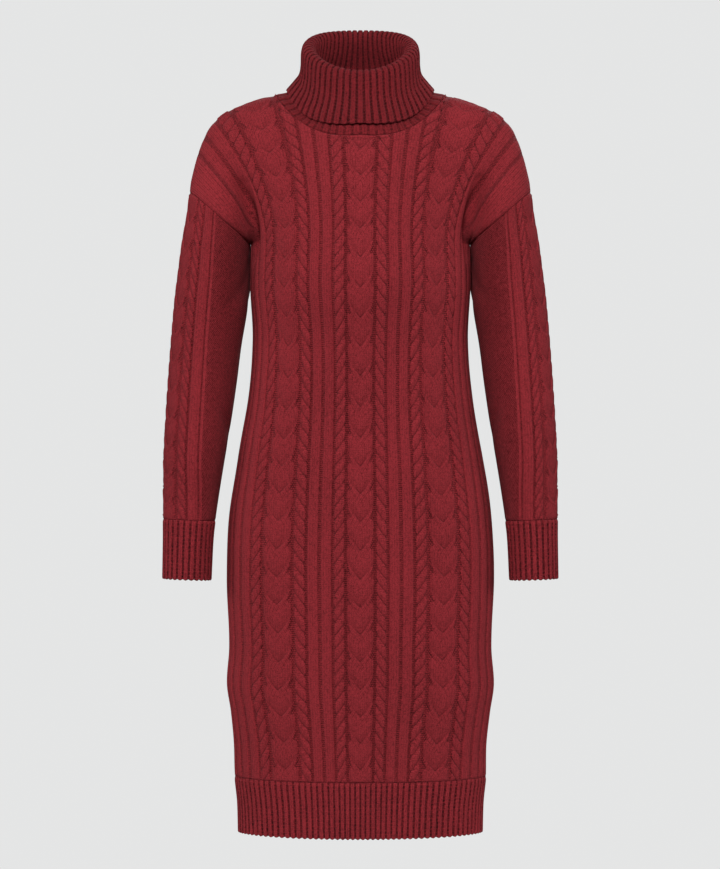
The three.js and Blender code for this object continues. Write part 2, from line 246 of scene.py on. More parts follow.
def free_column(side, across, t):
    """A column of stitches from armpit height at t = 0 to the shoulder line at t = 1, as one cubic."""
    swing = ARMHOLE_DEPTH * math.pi
    step = 2.0
    turned = smoothstep(0, 1, across)
    rise = (YOKE_RISE[side] * (1 - turned) + swing * turned)[..., None]
    fall = YOKE_FALL[side] * (1 - turned) + swing * turned
    start = body_point(side, across, np.full_like(across, ARMPIT_Z))
    below = body_point(side, across, np.full_like(across, ARMPIT_Z - step))
    over_arm = smoothstep(ARMPIT_TURN, 1, across)[..., None]
    up = (start - below) * rise / step * (1 - over_arm) + np.array([0, side * swing, 0]) * over_arm
    top = points(
        read(SHOULDER, "share", "x", across), side * SEAM_GAP / 2, read(SHOULDER, "share", "z", across)
    )
    return hermite(start, up, top, points(0, -side * fall, 0), t[..., None])


def yoke_point(side, share, t):
    """The free column bent on to the armhole seam near the arm."""
    across = np.abs(share)
    seam = armhole_point(side, t) - free_column(side, np.ones_like(across), t)
    place = free_column(side, across, t) + seam * smoothstep(ARMPIT_TURN, 1, across)[..., None]
    place[..., 0] *= np.where(share < 0, -1, 1)
    return place


def column_end(side, share):
    """The part of a column's way to the shoulder line at which the neckline or the shoulder seam ends it."""
    q = np.minimum(np.abs(share) / NECK_SHARE, 1)
    return 1 - (1 - YOKE_NECK[side]) * (1 - q**NECK_ROUNDNESS) ** (1 / NECK_ROUNDNESS)


def panel_point(side, share, v):
    """A panel: v is 0 at the hem band, 1 at armpit height and 2 at the neckline and shoulder seams."""
    skirt_z = BAND_TOP + SEAM_GAP + (ARMPIT_Z - BAND_TOP - SEAM_GAP) * np.minimum(v, 1)
    skirt = body_point(side, share, skirt_z)
    yoke = yoke_point(side, share, np.maximum(v - 1, 0) * column_end(side, share))
    return np.where(v[..., None] <= 1, skirt, yoke)


def neck_side(angle):
    return np.where(np.cos(angle) > 1e-9, FRONT, BACK)


def neck_point(angle):
    """The neckline seam, the panels' upper edge. angle is 0 in front and 180 degrees behind."""
    share = NECK_SHARE * np.sin(angle)
    top = np.full_like(angle, 2.0)
    front, back = panel_point(FRONT, share, top), panel_point(BACK, share, top)
    return np.where((neck_side(angle) == FRONT)[..., None], front, back)


def neck_normal(angle):
    """The cloth's outward direction along the neckline seam, from small steps on the panels."""
    share = NECK_SHARE * np.sin(angle)
    step = 0.004
    found = {}
    for side in (FRONT, BACK):
        end = column_end(side, share)
        along_u = yoke_point(side, share + step, end) - yoke_point(side, share - step, end)
        along_v = yoke_point(side, share, end) - yoke_point(side, share, end - step)
        found[side] = unit(np.cross(along_u, along_v)) * -side
    normal = np.where((neck_side(angle) == FRONT)[..., None], found[FRONT], found[BACK])
    normal[..., 1] *= np.abs(np.cos(angle)) > 1e-6
    return unit(normal)


def sleeve_point(turn, place):
    """The sleeve: leaning ellipses. turn goes once round from the underarm by way of the front."""
    value = {name: read(SLEEVE, "place", name, place) for name in ("x", "y", "z", "half", "depth", "tilt")}
    angle = turn * 2 * math.pi
    tilt = np.radians(value["tilt"])
    reach = -value["half"] * np.cos(angle)
    return points(
        value["x"] + reach * np.cos(tilt),
        value["y"] - value["depth"] * np.sin(angle),
        value["z"] + reach * np.sin(tilt),
    )


# The knitting chart of a panel, from its middle to a side: what the stripe is, its width, which way its
# cable leans, and its columns of mesh. A big cable is two ropes that mirror each other. Their notches point
# down.
PANEL_STRIPES = (
    ("big", 19.6, 1, 9),
    ("purl", 3.5, 0, 4),
    ("small", 14.7, -1, 9),
    ("purl", 3.5, 0, 4),
    ("rib", 14.4, 0, 6),
    ("purl", 5.0, 0, 4),
    ("rib", 13.6, 0, 6),
    ("purl", 3.5, 0, 4),
    ("small", 14.7, 1, 9),
    ("purl", 3.5, 0, 4),
    ("big", 19.5, -1, 9),
    ("big", 19.5, 1, 9),
    ("purl", 3.5, 0, 4),
    ("small", 14.7, -1, 9),
    ("purl", 3.5, 0, 4),
    ("rib", 14.4, 0, 6),
    ("purl", 5.0, 0, 4),
    ("rib", 14.4, 0, 6),
    ("purl", 5.0, 0, 4),
    ("rib", 14.4, 0, 6),
    ("purl", 5.0, 0, 4),
    ("rib", 13.7, 0, 8),
)
# The same for a sleeve, from the line along the top of the arm to the plain cloth of the underarm.
SLEEVE_STRIPES = (
    ("big", 19.5, 1, 9),
    ("purl", 4.0, 0, 4),
    ("small", 12.0, -1, 8),
    ("purl", 2.5, 0, 4),
    ("rib", 14.4, 0, 6),
    ("purl", 2.0, 0, 3),
    ("rib", 4.0, 0, 2),
)
SLEEVE_CENTRE = 0.422  # turn of the line along the top of the arm
SLEEVE_PLAIN_COLUMNS = 72
SLEEVE_PURL_PAINTED_SHADE = 1.0  # how far the plain cloth under the arm is drawn as purl; its darker purl colour is painted shade

# Cable crossings by height, counted downwards.
CROSSINGS = table(
    ("z", "count"),
    (ARMPIT_Z, 3.4),
    (-264, 5),
    (-345, 7),
    (-427, 9),
    (-540, 12),
    (-690, 16),
    (-837, 20),
    (-911, 22),
    (BAND_TOP, 22.4),
)
CROSSING_LENGTH = 36.0  # mm of a column between two crossings above the armpits
SLEEVE_CROSSING_LENGTH = 38.0
STITCHES_PER_CROSSING = 15
STITCH_LENGTH = 2.5
WALES_PER_MM = 1 / 3.3
PLAIN_WALES_PER_MM = 1 / 4.8  # on the shoulders beside the armholes
PURL_WALES_PER_MM = 1 / 1.9
# Part of a crossing's length that a crease climbs from one edge of a rope to the other.
BIG_CLIMB = 0.66
SMALL_CLIMB = 1.0
STRAND_PART = 0.27  # part of a crossing's length that the strand on top takes up

# Heights of the relief over the form, in mm.
EDGE_LEVEL = -1.2
CABLE_RISE = 2.5
UNEVEN_TURNS = 0.09  # how far creases wander, as a part of a crossing's length
UNEVEN_FORM = 0.5
RIB_RISE = 1.2
PURL_DEPTH = 0.7
SEAM_DIP = 0.6

# Panels: half the width of the flat cloth, the rows of the mesh, and how much coarser the inside is.
PANEL_HALF = 228.6
SKIRT_ROWS = 264
YOKE_ROWS = 84
INNER_STEP = 4
PLAIN_FROM = 190.0  # mm from the middle, where the ribs stop at armpit height
SHOULDER_FLAT = 15.0  # mm below the shoulder seam in which the cables lie pressed flat

# The straight row of bound-off stitches below the front of the neckband.
BOUND_LINE_Z = -67.0
BOUND_LINE_MIDDLE = 5.5
BOUND_LINE_HALF = 30.0
BOUND_LINE_DEPTH = 0.8

# Ribbed pieces and sleeves.
RIBS_PER_BAND = 52
RIBS_ROUND_CUFF = 26
RIBS_ROUND_COLLAR = 56
WALES_PER_RIB = 2
COLLAR_END_PLACE = 13.0
COLLAR_ROWS = 64
COLLAR_WAVE = 0.8  # mm up and down along the edge of the fold
RIB_END_WAVE = 0.8  # mm in and out along a free edge, from the furrows to the ribs
NECK_SEAM_GAP = 0.5
SLEEVE_ROWS = 200

# Yarn: the colour painted in the furrows as shade, that on top of the stitches, and how far the bars of
# purl stand out. The photograph shows the collar darker than the rest, and the collar's yarn is a darker copy
# of the same colour: painted shade.
CABLE_YARN = ((0.05, 0.0028, 0.0038), (0.348, 0.0285, 0.0375), 0.9)
RIB_YARN = ((0.02, 0.001, 0.0015), (0.37, 0.0285, 0.038), 0.25)
COLLAR_SHADED_YARN = ((0.014, 0.0007, 0.001), (0.247, 0.0165, 0.0225), 0.25)
YARN_NOISE = ((9.0, 3.0), (300.0, 2.0), (780.0, 3.0))  # scale and detail of clouds, fibres and fine fibres
# How far the painted shade in a cable's creases and the painted shadow above each crease darken the yarn.
CREASE_PAINTED_SHADE = 0.55
SHADOW_DARKNESS = 0.12

# Light, backdrop and bumps.
BACKDROP = (0.78, 0.785, 0.785)
WORLD_LIGHT = 0.05
# Each lamp's place, what it points at, its diameter in metres and its power in watts.
LIGHTS = (
    ("left_light", (-3.2, -1.2, 0.3), (0, 0, -0.45), 1.3, 43.0),
    ("right_light", (3.2, -1.2, 0.3), (0, 0, -0.45), 1.3, 43.0),
    ("front_light", (-0.1, -3.2, 1.3), (0, 0, -0.25), 1.2, 97.0),
    ("back_light", (0.6, 3.2, 1.4), (0, 0, -0.4), 2.2, 75.0),
)
FLOOR_Z = -1.3
FLOOR_RADIUS = 1.15
FLOOR_SIDES = 96
STITCH_HEIGHT = 0.6
CREASE_HEIGHT = 1.2

# Soft folds of the cloth: a trough or ridge along a line on a panel, from a place to another. across is mm
# from the panel's middle and up is mm above armpit height. Depth is inwards.
FOLDS = table(
    ("side", "across", "up", "to_across", "to_up", "width", "depth"),
    (FRONT, 197, -14, 168, 88, 9, 13),
    (FRONT, -195, -16, -170, 82, 10, 12.5),
    (FRONT, 208, 10, 196, 66, 6, 2.5),
    (FRONT, -206, 6, -199, 58, 6, 2.2),
    (BACK, 192, -10, 172, 100, 9, 6),
    (BACK, -195, -12, -168, 88, 8, 6.5),
    (BACK, 60, -150, 150, -176, 16, 2),
    (BACK, -150, -158, -50, -190, 15, 2.2),
)
# Behind the underarm the sleeve's cloth is tucked in against the body.
TUCK_ROUND = 0.5
TUCK_DEPTH = 5.0
# The same for a sleeve. round is the part of the way round it from the top line of the arm by way of the
# back, and down is mm from the armhole.
SLEEVE_FOLDS = table(
    ("round", "down", "to_round", "to_down", "width", "depth"),
    (0.50, -14, 0.50, 84, 10, -9.5),
    (0.60, 30, 0.80, 120, 9, 2.5),
    (0.72, 236, 0.60, 262, 11, 2.5),
    (0.34, 250, 0.42, 282, 11, 2),
)


def lengths_along(grid, axis):
    """Distance along the grid lines from the first point of each, by adding up the steps."""
    steps = np.linalg.norm(np.diff(grid, axis=axis), axis=-1)
    start = np.zeros_like(np.take(steps, [0], axis=axis))
    return np.concatenate([start, np.cumsum(steps, axis=axis)], axis=axis)


def surface_normals(grid, ring=False):
    """Unit normals of a grid of points: the cross product of its differences across and along."""
    wide = np.concatenate([grid[:, -2:-1], grid, grid[:, 1:2]], axis=1) if ring else grid
    across = np.gradient(wide, axis=1)
    if ring:
        across = across[:, 1:-1]
    return unit(np.cross(across, np.gradient(grid, axis=0)))


def fade_to(normals, edge, weight):
    """Normals turned to the edge's own ones by a weight, 1 at the edge."""
    return unit(normals * (1 - weight[..., None]) + edge * weight[..., None])


def stripe_columns(stripes):
    """Distances from the middle of the mesh columns of a chart, and the stripe that each cell belongs to."""
    starts = np.cumsum([0.0] + [width for _, width, _, _ in stripes])
    places = [0.0]
    owner = []
    for i, (_, width, _, count) in enumerate(stripes):
        places += list(starts[i] + width * np.arange(1, count + 1) / count)
        owner += [i] * count
    return np.array(places), np.array(owner)


def rope_phase(across, turns, big):
    """Where a point lies between two creases of a rope: 0 at one crease, and 1 at the next one below it.

    A crease climbs from the rope's -1 edge to its +1 edge.
    """
    way = (across + 1) / 2
    climb = BIG_CLIMB * (0.75 * way + 0.25 * way**3) if big else SMALL_CLIMB * (0.7 * way + 0.3 * way**2)
    return (turns + climb) % 1


def rope_relief(across, turns, big):
    """Height of a rope, 0 to about 1.

    In a big one the strand on top comes first below the crease, as a rounded ridge with a trough below it
    that is deep at the outer edge. Then comes the smooth body, which dives under the next strand. A small
    one is rounded from crease to crease.
    """
    phase = rope_phase(across, turns, big)
    way = (across + 1) / 2
    if not big:
        return 0.28 + 0.77 * np.sin(math.pi * phase) ** 0.55
    strand = np.sin(math.pi * np.clip(phase / STRAND_PART, 0, 1)) ** 0.7
    dive = np.maximum(smoothstep(0.7, 1, phase), 1 - smoothstep(0, 0.06, phase)) * (1 - 0.4 * way)
    trough = np.exp(-(((phase - STRAND_PART) / 0.05) ** 2)) * way**1.5
    return 0.65 + 0.35 * strand - 0.6 * dive - 0.5 * trough


def rope_edge(phase, big):
    """How far out the wavy edge of a rope lies at a phase: 1 at most, and less where a crease meets it."""
    if big:
        off = (phase - STRAND_PART + 0.5) % 1 - 0.5
        return 1 - 0.42 * np.exp(-((off / 0.15) ** 2))
    return 1 - 0.2 * np.exp(-((np.minimum(phase, 1 - phase) / 0.14) ** 2))


def uneven(across, along):
    """A small unevenness of the knitting, about -1 to 1: three crossed waves of unlike lengths, in mm."""
    return (
        np.sin(across / 17.0 + along / 41.0)
        + np.sin(across / -23.0 + along / 29.0 + 1.7)
        + np.sin(across / 47.0 - along / 67.0 + 4.1)
    ) / 3


def stripe_relief(stripes, across, owner, turns):
    """Height of the relief over the form at distances across from a chart's middle, for one stripe each."""
    starts = np.cumsum([0.0] + [width for _, width, _, _ in stripes])
    height = np.zeros(np.broadcast_shapes(across.shape, turns.shape))
    for i, (kind, width, lean, _) in enumerate(stripes):
        local = (across - starts[i]) / width * 2 - 1
        if kind == "purl":
            value = EDGE_LEVEL - PURL_DEPTH * (1 - local**2)
        elif kind == "rib":
            value = EDGE_LEVEL + RIB_RISE * (1 - np.abs(local) ** 6)
        else:
            leaning = local * lean
            big = kind == "big"
            turned = turns if big else 2 * turns
            edge = rope_edge(rope_phase(leaning, turned, big), big)
            shut = 1 - smoothstep(edge - 0.14, edge, leaning if big else np.abs(leaning))
            value = EDGE_LEVEL + CABLE_RISE * rope_relief(leaning, turned, big) * shut
        height = np.where(owner == i, value, height)
    return height


def stripe_marks(stripes, across, owner, turns, plain):
    """What a material needs to know at each corner of a cell: two sets of three numbers.

    cable: place across a rope, its turns, and half its width in stitches, which is 0 where there is no rope.
    stitch: place across in stitches, rows of stitches, and how purl the knitting is.
    """
    starts = np.cumsum([0.0] + [width for _, width, _, _ in stripes])
    kinds = [kind for kind, _, _, _ in stripes]
    widths = np.array([width for _, width, _, _ in stripes])
    leans = np.array([lean for _, _, lean, _ in stripes], float)
    local = (across - starts[owner]) / widths[owner] * 2 - 1
    rope = np.array([kind in ("big", "small") for kind in kinds], float)[owner]
    small = np.array([kind == "small" for kind in kinds], float)[owner]
    purl = np.array([kind == "purl" for kind in kinds], float)[owner]
    half_wales = rope * np.round(widths * WALES_PER_MM)[owner] / 2
    cable = np.stack(
        np.broadcast_arrays(local * leans[owner], turns * (1 + small), half_wales), -1
    )
    pitch = np.array([PURL_WALES_PER_MM if kind == "purl" else WALES_PER_MM for kind in kinds])
    wale = (across - starts[owner]) / widths[owner] * np.round(widths * pitch)[owner]
    wale = wale * (1 - plain) + across * PLAIN_WALES_PER_MM * plain
    stitch = np.stack(
        np.broadcast_arrays(wale, turns * STITCHES_PER_CROSSING, purl * (1 - plain)), -1
    )
    return cable, stitch


def corners_of(grid):
    """The values of a grid at the four corners of each cell, in the order of the cell's face."""
    return np.stack([grid[:-1, :-1], grid[:-1, 1:], grid[1:, 1:], grid[1:, :-1]], 2)


def cell_corners(left, right):
    """The same for values that each cell has on its own left and right edge."""
    return np.stack([left[:-1], right[:-1], right[1:], left[1:]], 2)


def rim_triangles(segments, ratio):
    """Triangles between two borders, as places in the outer border followed by the inner one.

    The outer border has ratio steps for each of the inner one: they fan out from the inner corner that is
    nearer, and one triangle bridges to the next corner.
    """
    first = np.arange(segments)
    inner = segments * ratio + 1 + first
    middle = (ratio + 1) // 2
    fans = [(first * ratio + middle, inner, inner + 1)]
    for step in range(ratio):
        corner = first * ratio + step
        fans.append((corner + 1, corner, inner if step < middle else inner + 1))
    return np.concatenate([np.stack(fan, -1) for fan in fans])


def grid_indices(shape, ring, start):
    """The vertex number of each grid point. On a ring the last column is the first one again."""
    rows, columns = shape
    across = columns - 1 if ring else columns
    return start + np.arange(rows)[:, None] * across + np.arange(columns)[None, :] % across


def wall_piece(name, outer, inner, ring=False):
    """A closed wall between two grids, as an object with its marks.

    Each grid has points in mm and, for its cells' corners, the marks cable and stitch. The inner grid may be
    coarser by a whole ratio. A ring's first and last columns are the same points.
    """
    number = {}
    vertices = []
    start = 0
    for label, grid in (("outer", outer), ("inner", inner)):
        points_here = grid["points"][:, :-1] if ring else grid["points"]
        number[label] = grid_indices(grid["points"].shape[:2], ring, start)
        vertices.append(points_here.reshape(-1, 3))
        start += points_here.shape[0] * points_here.shape[1]
    vertices = np.concatenate(vertices) * MM

    outer_quads = corners_of(number["outer"]).reshape(-1, 4)
    inner_quads = corners_of(number["inner"])[..., ::-1].reshape(-1, 4)
    quads = np.concatenate([outer_quads, inner_quads])
    quad_marks = {
        mark: np.concatenate([outer[mark].reshape(-1, 4, 3), inner[mark][:, :, ::-1].reshape(-1, 4, 3)])
        for mark in ("cable", "stitch")
    }
    ratio = (outer["points"].shape[0] - 1) // (inner["points"].shape[0] - 1)
    borders = [(np.s_[0, :], False), (np.s_[-1, :], True)]
    if not ring:
        borders += [(np.s_[:, 0], True), (np.s_[:, -1], False)]
    triangles, edge_marks = [], []
    for border, forward in borders:
        fan = rim_triangles(len(number["inner"][border]) - 1, ratio)
        fan = fan[:, ::-1] if forward else fan
        triangles.append(np.concatenate([number["outer"][border], number["inner"][border]])[fan])
        edge_marks.append(np.concatenate([outer["flat"][border], inner["flat"][border]])[fan])
    triangles = np.concatenate(triangles)
    edge_marks = np.concatenate(edge_marks)

    split = np.concatenate([quads[:, :3], quads[:, [0, 2, 3]], triangles])
    a, b, c = (vertices[split[:, i]] for i in range(3))
    if np.sum(a * np.cross(b, c)) < 0:
        quads, triangles, edge_marks = quads[:, ::-1], triangles[:, ::-1], edge_marks[:, ::-1]
        quad_marks = {mark: values[:, ::-1] for mark, values in quad_marks.items()}

    mesh = bpy.data.meshes.new(name)
    corners = np.concatenate([quads.ravel(), triangles.ravel()])
    sizes = np.concatenate([np.full(len(quads), 4), np.full(len(triangles), 3)])
    mesh.vertices.add(len(vertices))
    mesh.vertices.foreach_set("co", vertices.astype(np.float32).ravel())
    mesh.loops.add(len(corners))
    mesh.loops.foreach_set("vertex_index", corners.astype(np.int32))
    mesh.polygons.add(len(sizes))
    mesh.polygons.foreach_set("loop_start", (np.cumsum(sizes) - sizes).astype(np.int32))
    mesh.polygons.foreach_set("use_smooth", np.ones(len(sizes), bool))
    mesh.update(calc_edges=True)
    rim_marks = {"cable": np.zeros_like(edge_marks), "stitch": edge_marks}
    for mark, values in quad_marks.items():
        attribute = mesh.attributes.new(mark, "FLOAT_VECTOR", "CORNER")
        data = np.concatenate([values.reshape(-1, 3), rim_marks[mark].reshape(-1, 3)])
        attribute.data.foreach_set("vector", data.astype(np.float32).ravel())
    piece = bpy.data.objects.new(name, mesh)
    bpy.context.scene.collection.objects.link(piece)
    return piece


def inside_layer(grid, wale, course, step):
    """The coarser inner grid of a wall, in purl all over, from every step-th row and column."""
    grid, wale, course = grid[::step, ::step], wale[::step, ::step], course[::step, ::step]
    marks = np.stack([wale, course, np.ones_like(wale)], -1)
    return {
        "points": grid,
        "cable": np.zeros(corners_of(marks).shape),
        "stitch": corners_of(marks),
        "flat": marks * [1, 1, 0],
    }


def border_distance(grid, rows=True, columns=True):
    """Distance along the cloth to the nearest end of a row or column of the grid."""
    near = np.full(grid.shape[:2], 1e9)
    for axis, counts in ((0, rows), (1, columns)):
        if counts:
            along = lengths_along(grid, axis)
            near = np.minimum(near, np.minimum(along, np.take(along, [-1], axis=axis) - along))
    return near


def with_seam_dip(relief, distance):
    """The relief sinks towards a seam or edge, and its pattern fades over the last few mm."""
    return relief * smoothstep(0, 3.5, distance) - SEAM_DIP * (1 - smoothstep(0, 3, distance))


def line_trough(off_across, off_up, way, width, taper, power):
    """A Gaussian trough round a line that leads along way from the start, by distances from that start.

    Its depth is 1 in the middle and falls towards both ends like a power of a sine, which starts at taper.
    """
    from_start = np.stack([off_across, off_up], -1)
    t = np.clip(from_start @ way / (way @ way), 0, 1)
    away = np.sum((from_start - t[..., None] * way) ** 2, -1)
    return np.exp(-away / width**2) * np.sin(math.pi * (taper + (1 - 2 * taper) * t)) ** power


def fold_depth(side, across, up):
    """How far the folds of a panel press it in."""
    depth = np.zeros_like(up)
    for i in np.flatnonzero(FOLDS["side"] == side):
        fold = {name: values[i] for name, values in FOLDS.items()}
        way = np.array([fold["to_across"] - fold["across"], fold["to_up"] - fold["up"]])
        off_across, off_up = across - fold["across"], up - fold["up"]
        depth += fold["depth"] * line_trough(off_across, off_up, way, fold["width"], 0.12, 0.7)
    return depth


def near_shoulder(share, along):
    """1 at the shoulder seam and 0 from SHOULDER_FLAT mm below it, where the cables lie pressed flat."""
    beyond_neck = smoothstep(NECK_SHARE - 0.02, NECK_SHARE + 0.03, np.abs(share))
    return beyond_neck * (1 - smoothstep(0, SHOULDER_FLAT, along[-1:] - along))


def bound_line(base):
    """1 along the straight row of bound-off stitches below the front of the neckband."""
    off = np.exp(-(((base[..., 2] - BOUND_LINE_Z) / 1.6) ** 2))
    return off * (np.abs(base[..., 0] - BOUND_LINE_MIDDLE) < BOUND_LINE_HALF)


def panel(side, name):
    """The front or back of the dress, with cables and ribs in relief."""
    places, owner = stripe_columns(PANEL_STRIPES)
    places[np.argmin(np.abs(places - NECK_SHARE * PANEL_HALF))] = NECK_SHARE * PANEL_HALF
    across = np.concatenate([-places[::-1], places[1:]])
    owner = np.concatenate([owner[::-1], owner])
    v = np.concatenate([np.linspace(0, 1, SKIRT_ROWS + 1), 1 + np.arange(1, YOKE_ROWS + 1) / YOKE_ROWS])
    share_grid, v_grid = np.meshgrid(across / PANEL_HALF, v)
    across_grid = share_grid * PANEL_HALF
    base = panel_point(side, share_grid, v_grid)
    normal = surface_normals(base) * -side
    normal = panel_edge_normals(side, normal, share_grid, v_grid)

    along = lengths_along(base, 0)
    up = along - along[SKIRT_ROWS]
    skirt_turns = read(CROSSINGS, "z", "count", base[..., 2])
    turns = np.where(v_grid <= 1, skirt_turns, CROSSINGS["count"][0] - up / CROSSING_LENGTH)
    turns = turns + UNEVEN_TURNS * uneven(across_grid, up)
    pressed = fold_depth(side, across_grid, up) + UNEVEN_FORM * uneven(up, across_grid)
    base = base - normal * pressed[..., None]

    plain = smoothstep(PLAIN_FROM, PLAIN_FROM + 3, np.abs(across_grid)) * smoothstep(1.0, 1.15, v_grid)
    vertex_owner = np.concatenate([owner, owner[-1:]])
    relief = stripe_relief(PANEL_STRIPES, np.abs(across_grid), vertex_owner[None, :], turns) * (1 - plain)
    relief = relief * (1 - 0.85 * near_shoulder(share_grid, along))
    relief = with_seam_dip(relief, border_distance(base))
    line = bound_line(base) if side == FRONT else np.zeros(v_grid.shape)
    relief = relief - BOUND_LINE_DEPTH * line

    marks = []
    for edge in (np.s_[:-1], np.s_[1:]):
        cable, stitch = stripe_marks(
            PANEL_STRIPES, np.abs(across[edge]), owner, turns[:, edge], plain[:, edge]
        )
        stitch[..., 2] = np.maximum(stitch[..., 2], line[:, edge])
        marks.append((cable, stitch))
    wale = across_grid * WALES_PER_MM
    course = turns * STITCHES_PER_CROSSING
    outer = {
        "points": base + normal * relief[..., None],
        "cable": cell_corners(marks[0][0], marks[1][0]),
        "stitch": cell_corners(marks[0][1], marks[1][1]),
        "flat": np.stack([wale, course, np.zeros_like(wale)], -1),
    }
    return wall_piece(name, outer, inside_layer(base - normal * WALL, wale, course, INNER_STEP))


def panel_edge_normals(side, normal, share, v):
    """The normals of a panel, turned near its edges to those that it shares with the next piece."""
    blend_columns = 8
    blend_rows = 10
    columns = share.shape[1]
    from_edge = np.minimum(np.arange(columns), columns - 1 - np.arange(columns))
    near_side = np.clip(1 - from_edge / blend_columns, 0, 1)[None, :]
    from_top = v.shape[0] - 1 - np.arange(v.shape[0])
    near_top = np.clip(1 - from_top / blend_rows, 0, 1)[:, None]

    armhole = armhole_normal(side, np.clip(v - 1, 0, 1))
    armhole[..., 0] *= np.sign(share)
    normal = fade_to(normal, armhole, near_side * (v > 1))
    level = normal * [1, 0, 1]
    normal = fade_to(normal, unit(level), near_side * (v <= 1))

    angle = np.arcsin(np.clip(share / NECK_SHARE, -1, 1))
    neck = neck_normal(angle if side == FRONT else math.pi - angle)
    beyond = np.abs(share) > NECK_SHARE
    edge = np.where(beyond[..., None], unit(normal * [1, 0, 1]), neck)
    return fade_to(normal, edge, near_top * np.ones_like(share) * (np.abs(share) < 1))


def rib_columns(ribs):
    """Places of the mesh columns of a ribbed piece, counted in ribs. There are eight for each rib."""
    within = np.array([0, 0.09, 0.18, 0.34, 0.5, 0.66, 0.82, 0.91])
    return np.append((np.arange(ribs)[:, None] + within).ravel(), ribs)


def rib_relief(places):
    """Height of round ribs with a narrow furrow at each whole place: a flat-topped curve less a Gaussian."""
    within = places % 1
    furrow = np.minimum(within, 1 - within)
    return 0.9 * (1 - np.abs(2 * within - 1) ** 2.5) - 0.3 - 1.9 * np.exp(-((furrow / 0.1) ** 2))


def edge_rounding(distance):
    """How far each face of the cloth draws back towards its middle near a free edge: a quarter circle."""
    t = np.clip(1 - distance / 1.8, 0, 1)
    return 0.9 * (1 - np.sqrt(1 - t**2))


def rows_to_edge(start, end, count, length):
    """Row places from start to end, with three more close to the free edge at the end to round it."""
    rows = np.linspace(0, 1, count + 1)
    near = 1 - np.array([0.35, 0.9, 1.8]) / length
    return start + (end - start) * np.sort(np.concatenate([rows, near]))


def ribbed_layer(base, normal, fade, sink, places, course):
    """One face of a ribbed piece: its base moved out along the normals by the ribs, less what sinks it.

    places are the mesh columns in ribs. The furrow at each whole place is purl.
    """
    relief = rib_relief(places) * fade - sink
    within = places % 1
    wale = (places - within + np.clip((within - 0.18) / 0.64, 0, 1)) * WALES_PER_RIB
    middle = (places[1:] + places[:-1]) / 2 % 1
    purl = (np.abs(middle - 0.5) > 0.33) * fade[:, 1:]
    left = points(wale[:-1], course[:, :-1], purl)
    right = points(wale[1:], course[:, 1:], purl)
    stitch = cell_corners(left, right)
    return {
        "points": base + normal * relief[..., None],
        "cable": np.zeros(stitch.shape),
        "stitch": stitch,
        "flat": points(wale, course, np.zeros(course.shape)),
    }


def ribbed_piece(name, base, normal, places, ring, flat_start=0.0, full_from=2.5):
    """A ribbed wall from its seam at the first row to its free edge at the last one.

    The inner face has the same ribs as the outer one, half a rib further on. They are low up to flat_start
    mm from the seam, and grow to their full height at full_from.
    """
    from_seam = lengths_along(base, 0)
    to_edge = from_seam[-1:] - from_seam
    if not ring:
        to_edge = np.minimum(to_edge, border_distance(base, rows=False))
    sink = np.maximum(SEAM_DIP * (1 - smoothstep(0, 3, from_seam)), edge_rounding(to_edge))
    fade = 0.45 + 0.55 * smoothstep(0, 2.5, to_edge)
    fade = fade * (0.35 + 0.65 * smoothstep(flat_start, full_from, from_seam))
    course = from_seam / STITCH_LENGTH
    onward = unit(base[-1:] - base[-4:-3]) * (1 - smoothstep(0, 9, from_seam[-1:] - from_seam))[..., None]
    base = base - onward * (RIB_END_WAVE * np.cos(places * 2 * math.pi))[:, None]
    outer = ribbed_layer(base, normal, fade, sink, places, course)
    inner = ribbed_layer(base - normal * WALL, -normal, fade, sink, places + 0.5, course)
    return wall_piece(name, outer, inner, ring)


def hem_band(side, name):
    """The ribbed band along the lower edge of a panel, which ends at the side vents."""
    places = rib_columns(RIBS_PER_BAND)
    share, z = np.meshgrid(places / RIBS_PER_BAND * 2 - 1, rows_to_edge(BAND_TOP, HEM, 18, BAND_TOP - HEM))
    base = body_point(side, share, z)
    normal = surface_normals(base) * side
    normal[:, [0, -1], 1] = 0
    return ribbed_piece(name, base, unit(normal), places, False)


def sleeve_columns(places):
    """The mesh columns of a sleeve on each row: their turns, and the distance from the top line of the arm.

    Lengths are measured round each section. The stripes keep their widths, and the plain cloth between them
    under the arm takes what is left. Cells of plain cloth belong to no stripe, which is written as -1.
    """
    stripe, owner = stripe_columns(SLEEVE_STRIPES)
    fine = SLEEVE_CENTRE + np.linspace(0, 1, 721)
    turn_grid, place_grid = np.meshgrid(fine, places)
    around = lengths_along(sleeve_point(turn_grid, place_grid), 1)
    whole = around[:, -1:]
    plain = stripe[-1] + (whole - 2 * stripe[-1]) * np.linspace(0, 1, SLEEVE_PLAIN_COLUMNS + 1)[1:-1]
    near = np.broadcast_to(stripe, (len(places), len(stripe)))
    distance = np.concatenate([near, plain, whole - near[:, ::-1]], axis=1)
    turn = np.stack([np.interp(row, lengths, fine) for row, lengths in zip(distance, around)])
    owner = np.concatenate([owner, np.full(SLEEVE_PLAIN_COLUMNS, -1), owner[::-1]])
    return turn, distance, whole, owner


def sleeve_marks(across, owner, turns):
    """The marks of a sleeve's cells at one of their edges. The plain cloth is marked as purl, whose darker
    colour is painted shade under the arm.
    """
    cable, stitch = stripe_marks(SLEEVE_STRIPES, across, np.maximum(owner, 0), turns, 0)
    plain = (owner < 0)[:, None]
    stocking = points(
        across * PURL_WALES_PER_MM, turns * STITCHES_PER_CROSSING, np.full(across.shape, SLEEVE_PURL_PAINTED_SHADE)
    )
    return np.where(plain, 0, cable), np.where(plain, stocking, stitch)


